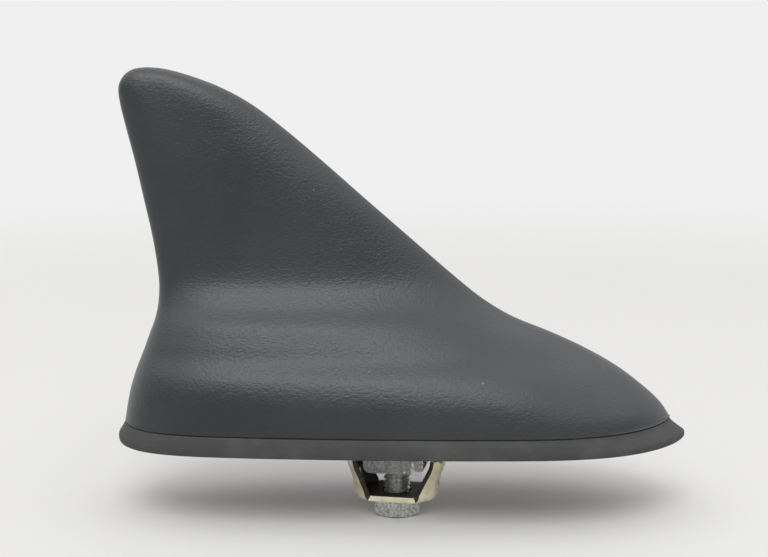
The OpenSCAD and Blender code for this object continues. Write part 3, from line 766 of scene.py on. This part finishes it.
# plain inner finishes: colour, second colour, metallic, roughness, grain per mm, bump depth in mm
plainLooks = {
    "dieCast": ((0.52, 0.53, 0.53), (0.36, 0.36, 0.35), 0.9, 0.46, 1.4, 0.05),
    "foamCord": ((0.045, 0.045, 0.047), (0.020, 0.020, 0.021), 0.0, 0.9, 2.4, 0.12),
    "screwSteel": ((0.62, 0.62, 0.60), (0.42, 0.42, 0.40), 1.0, 0.32, 1.5, 0.02),
    "boardLaminate": ((0.012, 0.105, 0.045), (0.020, 0.150, 0.070), 0.0, 0.30, 1.1, 0.02),
    "tinnedSheet": ((0.70, 0.70, 0.68), (0.56, 0.56, 0.54), 1.0, 0.30, 0.7, 0.02),
    "ceramic": ((0.72, 0.69, 0.62), (0.62, 0.59, 0.52), 0.0, 0.42, 1.0, 0.015),
    "contactBrass": ((0.78, 0.60, 0.28), (0.62, 0.44, 0.18), 1.0, 0.28, 1.2, 0.01),
    "holderWhite": ((0.72, 0.72, 0.69), (0.62, 0.62, 0.59), 0.0, 0.45, 1.2, 0.03),
    "copper": ((0.80, 0.38, 0.20), (0.55, 0.24, 0.12), 1.0, 0.30, 1.0, 0.01),
    "ferrite": ((0.055, 0.055, 0.060), (0.085, 0.083, 0.082), 0.0, 0.62, 2.0, 0.03),
    "chipBlack": ((0.018, 0.018, 0.020), (0.030, 0.030, 0.032), 0.0, 0.52, 2.6, 0.02),
    "platedContact": ((0.76, 0.74, 0.68), (0.60, 0.58, 0.52), 1.0, 0.24, 1.0, 0.01),
    "insulatorWhite": ((0.80, 0.80, 0.77), (0.70, 0.70, 0.67), 0.0, 0.38, 1.0, 0.01),
    "codedViolet": ((0.300, 0.125, 0.400), (0.220, 0.085, 0.310), 0.0, 0.36, 1.3, 0.02),
}


def plainFinish(name):
    colour, second, metal, rough, perMm, depth = plainLooks[name]
    m = Paint(name, Metallic=metal)
    place = m.place()
    cloudy = m.noise(place, perMm * 0.12, 3.0, 0.55)
    fine = m.noise(place, perMm, 4.0, 0.6)
    share = cloudy.clamped(0.3, 0.7) * 0.7 + fine.clamped(0.5, 0.8) * 0.3
    return m.set(Base_Color=m.mix(colour, second, share),
                 Roughness=rough + (fine - 0.5) * 0.14 + (cloudy - 0.5) * 0.08,
                 Normal=m.bump(fine, depth))


def standIn(piece, node, material):
    # a piece that takes a solid's place
    paint(piece, material)
    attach(piece, "root")
    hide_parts(node)
    return piece


standIn(makeCover(), "cover", grainedShell())
print("cover lofted")
standIn(makeSeal(), "roof_seal", sealRubber())
print("seal done")
bracket, innerFaces = makeBracket()
standIn(bracket, "clamp_bracket", bracketSteel())
# the faces that look at the bolt, and the plate's top, get the painted shade
bracket.data.materials.append(shadedInnerSteel())
for index in innerFaces:
    bracket.data.polygons[index].material_index = 1
standIn(makeBolt(), "clamp_bolt", boltSteel())
standIn(makeClip(), "retainer_clip", clearPlastic())
print("clamp done")

plain = {name: plainFinish(name) for name in plainLooks}

# solids that get eased edges: node, slot, finish, edge in mm
softened = [
    ("base_plate", "die_cast", "dieCast", 0.3),
    ("connector_housing", "coded_violet", "codedViolet", 0.25),
    ("connector_shell", "plated_contact", "platedContact", 0.08),
    ("connector_insulator", "insulator_white", "insulatorWhite", 0.1),
    ("connector_pin", "contact_brass", "contactBrass", 0.12),
    ("cover_seal", "foam_cord", "foamCord", 0.35),
]
for node, slot, look, edge in softened:
    first, second = node.split("_")
    standIn(softCopy(node, edge, first + second.capitalize() + "Soft"), node, plain[look])

# solids that only get a finish
asTheyAre = {
    "screwSteel": ("cover_screws", "board_screws"),
    "boardLaminate": ("main_board", "fin_board"),
    "tinnedSheet": ("shield_can",),
    "ceramic": ("patch_antenna",),
    "contactBrass": ("patch_pin", "phone_radiator", "board_contacts"),
    "holderWhite": ("fin_board_holder",),
    "copper": ("top_load", "radio_coil"),
    "ferrite": ("coil_core",),
    "chipBlack": ("chips",),
}
for look, painted in asTheyAre.items():
    for node in painted:
        paint(nodes[node], plain[look])
print("inner pieces painted")


# floor and lights, in metres
studio = {
    "floorZ": -0.0169,
    "floorColour": (0.80, 0.795, 0.785),
    "wallBehind": 1.5,
    "wallRound": 0.6,
    "wallSteps": 24,
    "wallHigh": 1.6,
    "width": 16.0,
    "front": -8.0,
    "paperClouds": 1.03,  # how much paler the paper gets in places
    "paperWhite": 0.87,
    "nearPaper": (0.25, 0.75),  # metres from the middle where the paper fades to plain white
    "skySpread": (0.30, 0.86),  # level at the horizon and overhead, for light that spreads
    "skySeen": (0.26, 2.1),  # the same as gloss and clear plastic see it
    "skyRise": (0.02, 0.72),  # heights between which the level climbs; 1 is straight up
    "skyLean": 0.7,  # how much more spreading light comes from the camera's side
    "keyLight": {"at": (-0.10, -0.85, 0.95), "size": (0.7, 0.6), "watts": 5.5},
}


def makeFloor():
    low, far, turn = studio["floorZ"], studio["wallBehind"], studio["wallRound"]
    profile = [(studio["front"], low), (far - turn, low)]
    steps = studio["wallSteps"]
    for k in range(1, steps + 1):
        a = math.radians(90 * k / steps)
        profile.append((far - turn + turn * math.sin(a), low + turn - turn * math.cos(a)))
    profile.append((far, studio["wallHigh"]))
    half = studio["width"] / 2
    points = [(x, y, z) for y, z in profile for x in (-half, half)]
    faces = [(2 * k, 2 * k + 1, 2 * k + 3, 2 * k + 2) for k in range(len(profile) - 1)]
    mesh = bpy.data.meshes.new("paperSweep")
    mesh.from_pydata(points, [], faces)
    obj = bpy.data.objects.new("paperSweep", mesh)
    bpy.context.scene.collection.objects.link(obj)
    smooth(obj, 60)
    m = Paint("paper", Roughness=0.9, Specular_IOR_Level=0.1)
    soft = m.noise(m.place(), 0.004, 2.0, 0.5)
    paler = tuple(c * studio["paperClouds"] for c in studio["floorColour"])
    m.set(Base_Color=m.mix(studio["floorColour"], paler, soft))
    # far from the antenna the paper is plain white to the eye, near it the shadows stay
    spot = m.node("ShaderNodeTexCoord", out=3)
    away = m.node("ShaderNodeVectorMath", {"operation": "LENGTH"}, {0: spot}, 1)
    glow = m.node("ShaderNodeEmission", {}, {"Color": (studio["paperWhite"],) * 3})
    both = m.node("ShaderNodeMixShader", {}, {0: away.clamped(*studio["nearPaper"]) * m.seenDirectly(),
                                              1: Sock(m, m.shader.outputs[0]), 2: glow})
    m.put(m.tree.nodes["Material Output"].inputs["Surface"], both)
    paint(obj, m.material)
    return obj


def softLight(name, at, size, watts, aim=(0, 0, 0.03)):
    lamp = bpy.data.lights.new(name, "AREA")
    lamp.shape = "RECTANGLE"
    lamp.size, lamp.size_y = size
    lamp.energy = watts
    obj = bpy.data.objects.new(name, lamp)
    bpy.context.scene.collection.objects.link(obj)
    obj.location = at
    obj.rotation_euler = (Vector(aim) - Vector(at)).to_track_quat("-Z", "Y").to_euler()
    return obj


def makeLight():
    softLight("keyLight", **studio["keyLight"])
    sky = Sky("studioSky")
    towards = sky.node("ShaderNodeTexCoord")
    back, up = (sky.node("ShaderNodeSeparateXYZ", {}, {0: towards}, k) for k in (1, 2))
    rise = up.clamped(*studio["skyRise"])
    low, high = studio["skySpread"]
    seenLow, seenHigh = studio["skySeen"]
    lean = 1 - back * studio["skyLean"]
    spread = (low + rise * (high - low)) * lean
    seen = seenLow + rise * (seenHigh - seenLow)
    sky.shader.inputs["Color"].default_value = (1, 1, 1, 1)
    sky.put(sky.shader.inputs["Strength"], spread + (seen - spread) * sky.seenDirectly())
    bpy.context.scene.world = sky.world


makeFloor()
makeLight()
bpy.context.scene.view_settings.view_transform = "Standard"
print("floor and lights set")
